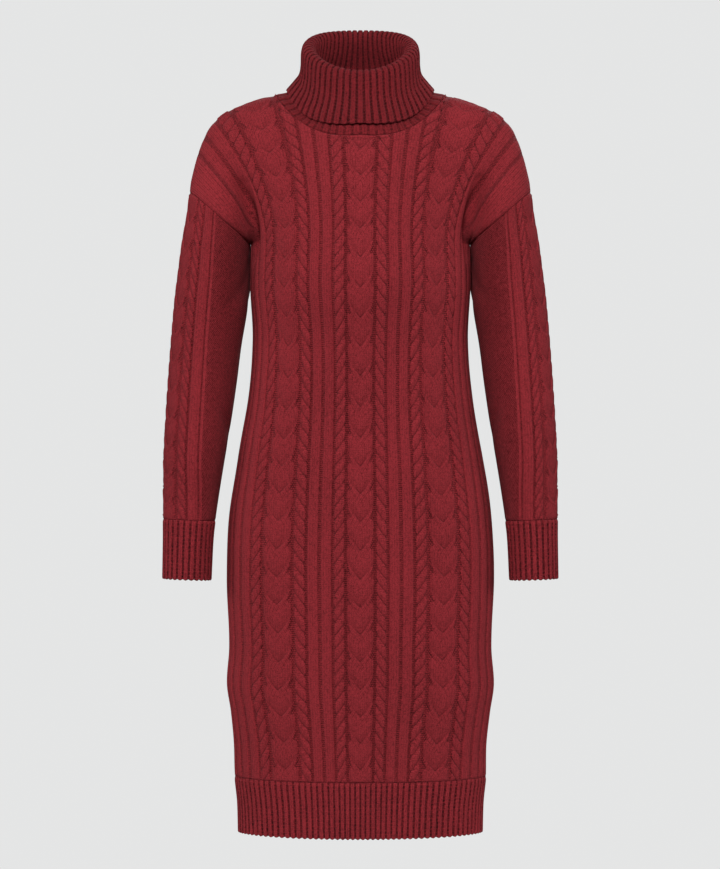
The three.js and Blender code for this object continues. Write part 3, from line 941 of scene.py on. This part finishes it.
def sleeve_fold_depth(distance, whole, along):
    """How far the folds of a sleeve press it in."""
    depth = np.zeros(along.shape)
    for i in range(len(SLEEVE_FOLDS["depth"])):
        fold = {name: values[i] for name, values in SLEEVE_FOLDS.items()}
        way = np.array([fold["to_round"] - fold["round"], fold["to_down"] - fold["down"]])
        off = distance / whole - fold["round"]
        off = (off - np.round(off)) * whole
        way[0] *= np.mean(whole)
        depth += fold["depth"] * line_trough(off, along - fold["down"], way, fold["width"], 0.1, 1)
    return depth


def mirror(grid):
    """The same piece for the wearer's right side."""
    grid["points"] = grid["points"] * [-1, 1, 1]
    return grid


def sleeve(hand, name):
    """A sleeve from the armhole to the cuff, with a cable along the top of the arm. hand is 1 or -1."""
    rows = np.linspace(0, CUFF_PLACE - SEAM_GAP / 33, SLEEVE_ROWS + 1)
    turn, distance, whole, owner = sleeve_columns(rows)
    base = sleeve_point(turn, np.broadcast_to(rows[:, None], turn.shape))
    base[:, -1] = base[:, 0]
    normal = -surface_normals(base, ring=True)
    along = lengths_along(base, 0)

    once = turn[0] % 1
    side = np.where(once <= 0.5, FRONT, BACK)
    seam_normal = armhole_normal(side, np.where(once <= 0.5, 2 * once, 2 - 2 * once))
    start = np.zeros(len(once))
    round_seam = sleeve_point(turn[0] + 0.01, start) - sleeve_point(turn[0] - 0.01, start)
    near_seam = 1 - smoothstep(0, 15, along)
    base = base + (unit(np.cross(round_seam, seam_normal)) * SEAM_GAP)[None] * near_seam[..., None]
    normal = fade_to(normal, np.broadcast_to(seam_normal, normal.shape), near_seam)

    ends = smoothstep(0, 2.5, along) * smoothstep(0, 25, along[-1:] - along)
    fold = sleeve_fold_depth(distance, whole, along) * ends
    base = base - normal * fold[..., None]
    behind = (distance / whole - TUCK_ROUND) * whole
    below_seam = (0.2 + 0.8 * smoothstep(0, 5, along)) * (1 - smoothstep(25, 60, along))
    base[..., 0] -= TUCK_DEPTH * np.exp(-((behind / 14) ** 2)) * below_seam
    turns = along / SLEEVE_CROSSING_LENGTH + UNEVEN_TURNS * uneven(distance, along)
    across = np.minimum(distance, whole - distance)
    vertex_owner = np.append(owner, owner[-1])
    vertex_owner[len(owner) // 2 :] = np.append(owner[0], owner)[len(owner) // 2 :]
    relief = stripe_relief(SLEEVE_STRIPES, across, vertex_owner, turns)
    relief = with_seam_dip(relief, border_distance(base, columns=False))

    left = sleeve_marks(across[:, :-1], owner, turns[:, :-1])
    right = sleeve_marks(across[:, 1:], owner, turns[:, 1:])
    wale, course = across * WALES_PER_MM, turns * STITCHES_PER_CROSSING
    outer = {
        "points": base + normal * relief[..., None],
        "cable": cell_corners(left[0], right[0]),
        "stitch": cell_corners(left[1], right[1]),
        "flat": points(wale, course, np.zeros(wale.shape)),
    }
    inner = inside_layer(base - normal * WALL, wale, course, INNER_STEP)
    if hand < 0:
        outer, inner = mirror(outer), mirror(inner)
    return wall_piece(name, outer, inner, ring=True)


def cuff(hand, name):
    """The ribbed tube at the end of a sleeve."""
    places = rib_columns(RIBS_ROUND_CUFF)
    turn, place = np.meshgrid(places / RIBS_ROUND_CUFF, rows_to_edge(CUFF_PLACE, SLEEVE_END_PLACE, 20, 80))
    base = sleeve_point(turn, place)
    normal = -surface_normals(base, ring=True)
    if hand < 0:
        base, normal = base * [-1, 1, 1], normal * [-1, 1, 1]
    return ribbed_piece(name, base, normal, places, True)


def collar_middle(angle, place):
    """The middle of the collar's cloth, up from the neckline seam, over the crest and down outside."""
    row = {name: read(COLLAR, "place", name, place)[:, None] for name in COLLAR if name != "place"}
    ahead = np.cos(angle) ** 2
    seam = neck_point(angle)
    forward = np.where(np.cos(angle) > 0, CREST_DEPTH[FRONT], CREST_DEPTH[BACK])
    lean = (CREST_HIGH - CREST_LOW) / 2
    bow = (CREST_HIGH + CREST_LOW) / 2 - CREST_SIDE
    crest = points(
        CREST_HALF * np.sin(angle),
        -forward * np.cos(angle),
        CREST_SIDE - lean * np.cos(angle) + bow * ahead,
    )
    out = row["out_side"] + (row["out_front"] - row["out_side"]) * ahead
    down = row["down_side"] + (row["down_front"] - row["down_side"]) * ahead
    outward = points(np.sin(angle), -np.cos(angle), 0)
    middle = crest + (seam - crest) * out[..., None] + outward * row["by"][..., None]
    middle[..., 2] = crest[:, 2] + (seam - crest)[:, 2] * down + row["rise"]
    return middle


def collar(name):
    """The roll collar. Its visible face is inside the neck, over the crest and outside the fold."""
    places = rib_columns(RIBS_ROUND_COLLAR)
    angle = (places - 0.5) / RIBS_ROUND_COLLAR * 2 * math.pi
    place = rows_to_edge(0, COLLAR_END_PLACE, COLLAR_ROWS, 180)
    middle = collar_middle(angle, place)
    normal = surface_normals(middle, ring=True)
    seam_normal = neck_normal(angle)
    round_seam = neck_point(angle + 0.01) - neck_point(angle - 0.01)
    up = unit(np.cross(seam_normal, round_seam))
    near_seam = np.clip(1 - place, 0, 1)[:, None]
    middle = middle + (up * NECK_SEAM_GAP - seam_normal * WALL / 2)[None] * near_seam[..., None]
    normal = fade_to(normal, np.broadcast_to(seam_normal, normal.shape), near_seam * np.ones(len(angle)))
    wave = COLLAR_WAVE * np.sin(2 * angle + 0.6) * smoothstep(9, 13, place)[:, None]
    middle[..., 2] += wave
    return ribbed_piece(name, middle - normal * WALL / 2, -normal, places, True, 12, 40)


def new_group(name, inputs, outputs):
    """An empty shader node group with named number inputs and outputs."""
    group = bpy.data.node_groups.new(name, "ShaderNodeTree")
    for kind, sockets in (("INPUT", inputs), ("OUTPUT", outputs)):
        for socket, what in sockets:
            group.interface.new_socket(socket, in_out=kind, socket_type="NodeSocket" + what)
    return group, group.nodes.new("NodeGroupInput"), group.nodes.new("NodeGroupOutput")


class Maths:
    """Short names for the maths nodes of one node tree. Each takes sockets or numbers and gives a socket."""

    def __init__(self, tree):
        self.tree = tree

    def feed(self, socket, value):
        if isinstance(value, bpy.types.NodeSocket):
            self.tree.links.new(value, socket)
        else:
            socket.default_value = value

    def do(self, operation, *values):
        node = self.tree.nodes.new("ShaderNodeMath")
        node.operation = operation
        for socket, value in zip(node.inputs, values):
            self.feed(socket, value)
        return node.outputs[0]

    def add(self, a, b):
        return self.do("ADD", a, b)

    def less(self, a, b):
        return self.do("SUBTRACT", a, b)

    def times(self, a, b):
        return self.do("MULTIPLY", a, b)

    def sine(self, turns):
        """The sine of a number of half turns."""
        return self.do("SINE", self.times(turns, math.pi))

    def step(self, value, low, high, smooth=True):
        """0 where value is low, and 1 where it is high. low and high may be sockets."""
        node = self.tree.nodes.new("ShaderNodeMapRange")
        node.interpolation_type = "SMOOTHSTEP" if smooth else "LINEAR"
        self.feed(node.inputs["Value"], value)
        self.feed(node.inputs["From Min"], low)
        self.feed(node.inputs["From Max"], high)
        return node.outputs[0]

    def blend(self, factor, a, b):
        """a where factor is 0 and b where it is 1."""
        return self.add(a, self.times(factor, self.less(b, a)))


def stocking_stitch_group():
    """Plain knitting: a column of V shapes for each whole Wale, which point down as Course counts down."""
    group, given, result = new_group(
        "stocking_stitch", [("Wale", "Float"), ("Course", "Float")], [("Height", "Float")]
    )
    m = Maths(group)
    from_middle = m.do("ABSOLUTE", m.less(m.do("FRACT", given.outputs["Wale"]), 0.5))
    leg = m.do("COSINE", m.times(m.less(from_middle, 0.25), 2 * math.pi))
    slanted = m.add(given.outputs["Course"], m.times(from_middle, 1.3))
    bulge = m.do("POWER", m.do("MAXIMUM", m.sine(m.do("FRACT", slanted)), 0.0), 0.6)
    column = m.less(1.0, m.times(m.step(from_middle, 0.22, 0.5), 0.75))
    legs = m.add(m.times(leg, 0.75), 0.25)
    height = m.times(m.times(legs, column), m.add(m.times(bulge, 0.7), 0.3))
    group.links.new(height, result.inputs["Height"])
    return group


def purl_stitch_group():
    """The back of plain knitting: short bars across, each row half a stitch further on."""
    group, given, result = new_group(
        "purl_stitch", [("Wale", "Float"), ("Course", "Float")], [("Height", "Float")]
    )
    m = Maths(group)
    rows = given.outputs["Course"]
    shifted = m.add(given.outputs["Wale"], m.times(m.do("FLOOR", rows), 0.5))
    bar = m.do("ABSOLUTE", m.sine(shifted))
    row = m.do("ABSOLUTE", m.sine(rows))
    group.links.new(m.times(m.add(m.times(bar, 0.85), 0.15), row), result.inputs["Height"])
    return group


def rope_strands_group():
    """The creases and wavy edges of a rope, as in rope_phase, rope_relief and rope_edge.

    Crease is 1 in a crease, Shade is 1 in the soft shadow above it, and Outside is 1 beyond the rope's edge.
    """
    group, given, result = new_group(
        "rope_strands",
        [("Across", "Float"), ("Turns", "Float"), ("Half wales", "Float")],
        [("Wale", "Float"), ("Crease", "Float"), ("Shade", "Float"), ("Outside", "Float")],
    )
    m = Maths(group)
    across, half_wales = given.outputs["Across"], given.outputs["Half wales"]
    big = m.do("GREATER_THAN", half_wales, 2.5)
    way = m.times(m.add(across, 1.0), 0.5)
    big_climb = m.add(m.times(way, 0.75 * BIG_CLIMB), m.times(m.do("POWER", way, 3.0), 0.25 * BIG_CLIMB))
    small_climb = m.add(m.times(way, 0.7 * SMALL_CLIMB), m.times(m.times(way, way), 0.3 * SMALL_CLIMB))
    climb = m.blend(big, small_climb, big_climb)
    phase = m.do("FRACT", m.add(given.outputs["Turns"], climb))

    above = m.step(phase, m.blend(big, 0.9, 0.94), 1.0)
    below = m.less(1.0, m.step(phase, 0.0, m.blend(big, 0.07, 0.04)))
    fading = m.times(m.step(way, 0.05, 0.7), m.times(big, 0.8))
    upper = m.times(m.do("MAXIMUM", above, below), m.less(1.0, fading))
    off = m.do("ABSOLUTE", m.less(phase, STRAND_PART))
    lower = m.times(m.less(1.0, m.step(off, 0.0, 0.05)), m.times(m.step(way, 0.3, 0.95), big))
    crease = m.do("MAXIMUM", upper, lower)
    shade = m.times(m.step(phase, 0.55, 1.0), m.less(1.0, m.times(way, 0.3)))

    wrapped = m.less(m.do("FRACT", m.add(phase, 0.5 - STRAND_PART)), 0.5)
    near_big = m.less(1.0, m.step(m.do("ABSOLUTE", wrapped), 0.0, 0.34))
    near_small = m.less(1.0, m.step(m.do("MINIMUM", phase, m.less(1.0, phase)), 0.0, 0.3))
    edge = m.less(0.96, m.blend(big, m.times(near_small, 0.24), m.times(near_big, 0.42)))
    reach = m.blend(big, m.do("ABSOLUTE", across), across)
    outside = m.step(reach, m.less(edge, 0.1), edge)

    slant = m.times(m.less(1.0, m.step(phase, 0.0, 0.5)), 1.5)
    wale = m.add(m.times(m.add(across, 1.0), half_wales), slant)
    for name, value in (("Wale", wale), ("Crease", crease), ("Shade", shade), ("Outside", outside)):
        group.links.new(value, result.inputs[name])
    return group


def yarn_group():
    """The yarn itself, from noise on Object coordinates.

    Shade is soft clouds and fine fibres, Fuzz is the fibres' height, and Break says how far a crease shows,
    from 0 to 1: its painted shade and its bump.
    """
    group, given, result = new_group(
        "yarn", [("Place", "Vector")], [("Shade", "Float"), ("Fuzz", "Float"), ("Break", "Float")]
    )
    m = Maths(group)
    found = []
    for scale, detail in YARN_NOISE:
        noise = group.nodes.new("ShaderNodeTexNoise")
        noise.inputs["Scale"].default_value = scale
        noise.inputs["Detail"].default_value = detail
        group.links.new(given.outputs["Place"], noise.inputs["Vector"])
        found.append(m.less(noise.outputs["Fac"], 0.5))
    shade = m.add(m.times(found[0], 0.35), m.times(found[1], 0.9))
    shade = m.add(shade, m.times(found[2], 2.1))
    group.links.new(shade, result.inputs["Shade"])
    group.links.new(m.add(found[2], m.times(found[1], 0.6)), result.inputs["Fuzz"])
    group.links.new(m.step(found[1], -0.16, 0.12), result.inputs["Break"])
    return group


def knit_material(name, deep, bright, bead, groups):
    """Matt yarn knitted in cables, ribs and purl, as the marks on the mesh say.

    deep is the colour painted in the furrows as shade, bright that on top of the stitches, and bead how far
    the bars of purl stand out.
    """
    material = bpy.data.materials.new(name)
    material.use_nodes = True
    tree = material.node_tree
    shader = tree.nodes["Principled BSDF"]
    m = Maths(tree)

    def placed(group, **given):
        node = tree.nodes.new("ShaderNodeGroup")
        node.node_tree = group
        for socket, value in given.items():
            m.feed(node.inputs[socket.replace("_", " ")], value)
        return node.outputs

    def mark(attribute):
        node = tree.nodes.new("ShaderNodeAttribute")
        node.attribute_name = attribute
        split = tree.nodes.new("ShaderNodeSeparateXYZ")
        tree.links.new(node.outputs["Vector"], split.inputs[0])
        return split.outputs

    across, turns, half_wales = mark("cable")
    plain_wale, course, purl = mark("stitch")
    rope = placed(groups["rope"], Across=across, Turns=turns, Half_wales=half_wales)
    is_rope = m.do("GREATER_THAN", half_wales, 0.5)
    wale = m.blend(is_rope, plain_wale, rope["Wale"])
    crease = m.times(is_rope, rope["Crease"])
    shadow = m.times(is_rope, rope["Shade"])
    purl = m.do("MAXIMUM", purl, m.times(is_rope, rope["Outside"]))
    stocking = placed(groups["stocking"], Wale=wale, Course=course)["Height"]
    purled = placed(groups["purl"], Wale=plain_wale, Course=course)["Height"]
    stitch = m.blend(purl, stocking, purled)
    place = tree.nodes.new("ShaderNodeTexCoord").outputs["Object"]
    yarn = placed(groups["yarn"], Place=place)
    crease = m.times(crease, m.add(m.times(yarn["Break"], 0.75), 0.25))

    # Painted shade: the colour is darker between stitches and rows, where the stitch height is low, and
    # darker on purl, in its channels and between its bars.
    smooth_side = m.add(m.times(stitch, 0.5), 0.47)
    purl_side = m.add(m.times(stitch, bead), 0.29 - 0.27 * bead)
    lightness = m.blend(purl, smooth_side, purl_side)
    lightness = m.add(lightness, m.times(yarn["Shade"], 0.85))
    # Painted shade in the creases of the cables, and a painted shadow above each crease.
    lightness = m.times(lightness, m.less(1.0, m.times(crease, CREASE_PAINTED_SHADE)))
    lightness = m.times(lightness, m.less(1.0, m.times(shadow, SHADOW_DARKNESS)))
    ramp = tree.nodes.new("ShaderNodeMix")
    ramp.data_type = "RGBA"
    ramp.clamp_factor = True
    m.feed(ramp.inputs["Factor"], lightness)
    ramp.inputs["A"].default_value = (*deep, 1)
    ramp.inputs["B"].default_value = (*bright, 1)
    tree.links.new(ramp.outputs["Result"], shader.inputs["Base Color"])

    height = m.add(m.times(stitch, STITCH_HEIGHT), m.times(yarn["Fuzz"], 0.25))
    height = m.less(height, m.times(crease, CREASE_HEIGHT))
    bump = tree.nodes.new("ShaderNodeBump")
    bump.inputs["Distance"].default_value = MM
    m.feed(bump.inputs["Height"], height)
    tree.links.new(bump.outputs["Normal"], shader.inputs["Normal"])
    shader.inputs["Roughness"].default_value = 0.92
    shader.inputs["Specular IOR Level"].default_value = 0.15
    shader.inputs["Sheen Weight"].default_value = 0.12
    shader.inputs["Sheen Roughness"].default_value = 0.5
    shader.inputs["Sheen Tint"].default_value = (0.9, 0.22, 0.25, 1)
    return material


def make_camera():
    """The photograph's view: level, from straight in front, with a long lens."""
    data = bpy.data.cameras.new("photo_camera")
    data.sensor_width = 36.0
    data.lens = data.sensor_width * CAMERA_DISTANCE / (PHOTO_HEIGHT * MM_PER_PIXEL)
    camera = bpy.data.objects.new("photo_camera", data)
    aside = (PHOTO_WIDTH / 2 - MIDDLE_COLUMN) * MM_PER_PIXEL
    camera.location = (aside * MM, -CAMERA_DISTANCE * MM, EYE_Z * MM)
    camera.rotation_euler = (math.pi / 2, 0, 0)
    bpy.context.scene.collection.objects.link(camera)
    bpy.context.scene.camera = camera


def make_world():
    """A plain pale backdrop all round, which also gives soft light from everywhere."""
    world = bpy.data.worlds.new("studio")
    world.use_nodes = True
    tree = world.node_tree
    tree.nodes.clear()
    output = tree.nodes.new("ShaderNodeOutputWorld")
    seen = tree.nodes.new("ShaderNodeLightPath").outputs["Is Camera Ray"]
    light = tree.nodes.new("ShaderNodeBackground")
    light.inputs["Color"].default_value = (1.0, 0.99, 0.98, 1)
    light.inputs["Strength"].default_value = WORLD_LIGHT
    backdrop = tree.nodes.new("ShaderNodeBackground")
    backdrop.inputs["Color"].default_value = (*BACKDROP, 1)
    mix = tree.nodes.new("ShaderNodeMixShader")
    tree.links.new(seen, mix.inputs["Fac"])
    tree.links.new(light.outputs[0], mix.inputs[1])
    tree.links.new(backdrop.outputs[0], mix.inputs[2])
    tree.links.new(mix.outputs[0], output.inputs["Surface"])
    bpy.context.scene.world = world


def make_area_light(name, place, aim, size, power):
    """A round soft lamp that points at aim."""
    data = bpy.data.lights.new(name, "AREA")
    data.shape = "DISK"
    data.size = size
    data.energy = power
    light = bpy.data.objects.new(name, data)
    light.location = place
    way = np.array(aim) - np.array(place)
    level = math.hypot(way[0], way[1])
    light.rotation_euler = (math.atan2(level, -way[2]), 0, math.atan2(-way[0], way[1]))
    bpy.context.scene.collection.objects.link(light)


def floor_material():
    """Pale floor that fades out towards its edge, and can't be seen from below."""
    material = bpy.data.materials.new("pale_floor")
    material.use_nodes = True
    tree = material.node_tree
    shader = tree.nodes["Principled BSDF"]
    shader.inputs["Base Color"].default_value = (0.80, 0.80, 0.80, 1)
    shader.inputs["Roughness"].default_value = 0.9
    m = Maths(tree)
    place = tree.nodes.new("ShaderNodeTexCoord").outputs["Object"]
    split = tree.nodes.new("ShaderNodeSeparateXYZ")
    tree.links.new(place, split.inputs[0])
    square_x = m.times(split.outputs["X"], split.outputs["X"])
    square_y = m.times(split.outputs["Y"], split.outputs["Y"])
    radius = m.do("SQRT", m.add(square_x, square_y))
    solid = m.less(1.0, m.step(radius, 0.25, FLOOR_RADIUS))
    above = m.less(1.0, tree.nodes.new("ShaderNodeNewGeometry").outputs["Backfacing"])
    m.feed(shader.inputs["Alpha"], m.times(solid, above))
    return material


def make_floor():
    """A round floor below the dress: a fan of triangles round its middle, out of the photograph's view."""
    corner = np.arange(FLOOR_SIDES)
    angle = corner / FLOOR_SIDES * 2 * math.pi
    ring = points(FLOOR_RADIUS * np.cos(angle), FLOOR_RADIUS * np.sin(angle), FLOOR_Z)
    middle = points(0, 0, FLOOR_Z)[None]
    faces = np.stack([np.full(FLOOR_SIDES, FLOOR_SIDES), corner, (corner + 1) % FLOOR_SIDES], -1)
    mesh = bpy.data.meshes.new("floor")
    mesh.from_pydata(np.concatenate([ring, middle]).tolist(), [], faces.tolist())
    mesh.materials.append(floor_material())
    floor = bpy.data.objects.new("floor", mesh)
    bpy.context.scene.collection.objects.link(floor)


def finish_piece(piece, node, material):
    """Gives a piece its material, attaches it to the root body, and hides the CAD node that it stands for."""
    piece.data.materials.append(material)
    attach(piece, "root")
    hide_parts(node)


make_camera()
make_world()
for light_values in LIGHTS:
    make_area_light(*light_values)
make_floor()
bpy.context.scene.view_settings.view_transform = "Standard"

GROUPS = {
    "stocking": stocking_stitch_group(),
    "purl": purl_stitch_group(),
    "rope": rope_strands_group(),
    "yarn": yarn_group(),
}
CABLE_KNIT = knit_material("cable_knit_yarn", *CABLE_YARN, GROUPS)
RIB_KNIT = knit_material("rib_knit_yarn", *RIB_YARN, GROUPS)
# The collar's yarn is the same colour drawn darker: painted shade.
COLLAR_SHADED_KNIT = knit_material("collar_shaded_knit_yarn", *COLLAR_SHADED_YARN, GROUPS)

front = panel(FRONT, "front_panel_knit")
back = panel(BACK, "back_panel_knit")
front_band = hem_band(FRONT, "front_hem_ribs")
back_band = hem_band(BACK, "back_hem_ribs")
left_arm = sleeve(1, "left_sleeve_knit")
right_arm = sleeve(-1, "right_sleeve_knit")
left_wrist = cuff(1, "left_cuff_ribs")
right_wrist = cuff(-1, "right_cuff_ribs")
roll = collar("roll_collar_ribs")

finish_piece(front, "front_panel", CABLE_KNIT)
finish_piece(back, "back_panel", CABLE_KNIT)
finish_piece(left_arm, "left_sleeve", CABLE_KNIT)
finish_piece(right_arm, "right_sleeve", CABLE_KNIT)
finish_piece(front_band, "front_hem_band", RIB_KNIT)
finish_piece(back_band, "back_hem_band", RIB_KNIT)
finish_piece(left_wrist, "left_cuff", RIB_KNIT)
finish_piece(right_wrist, "right_cuff", RIB_KNIT)
finish_piece(roll, "roll_collar", COLLAR_SHADED_KNIT)
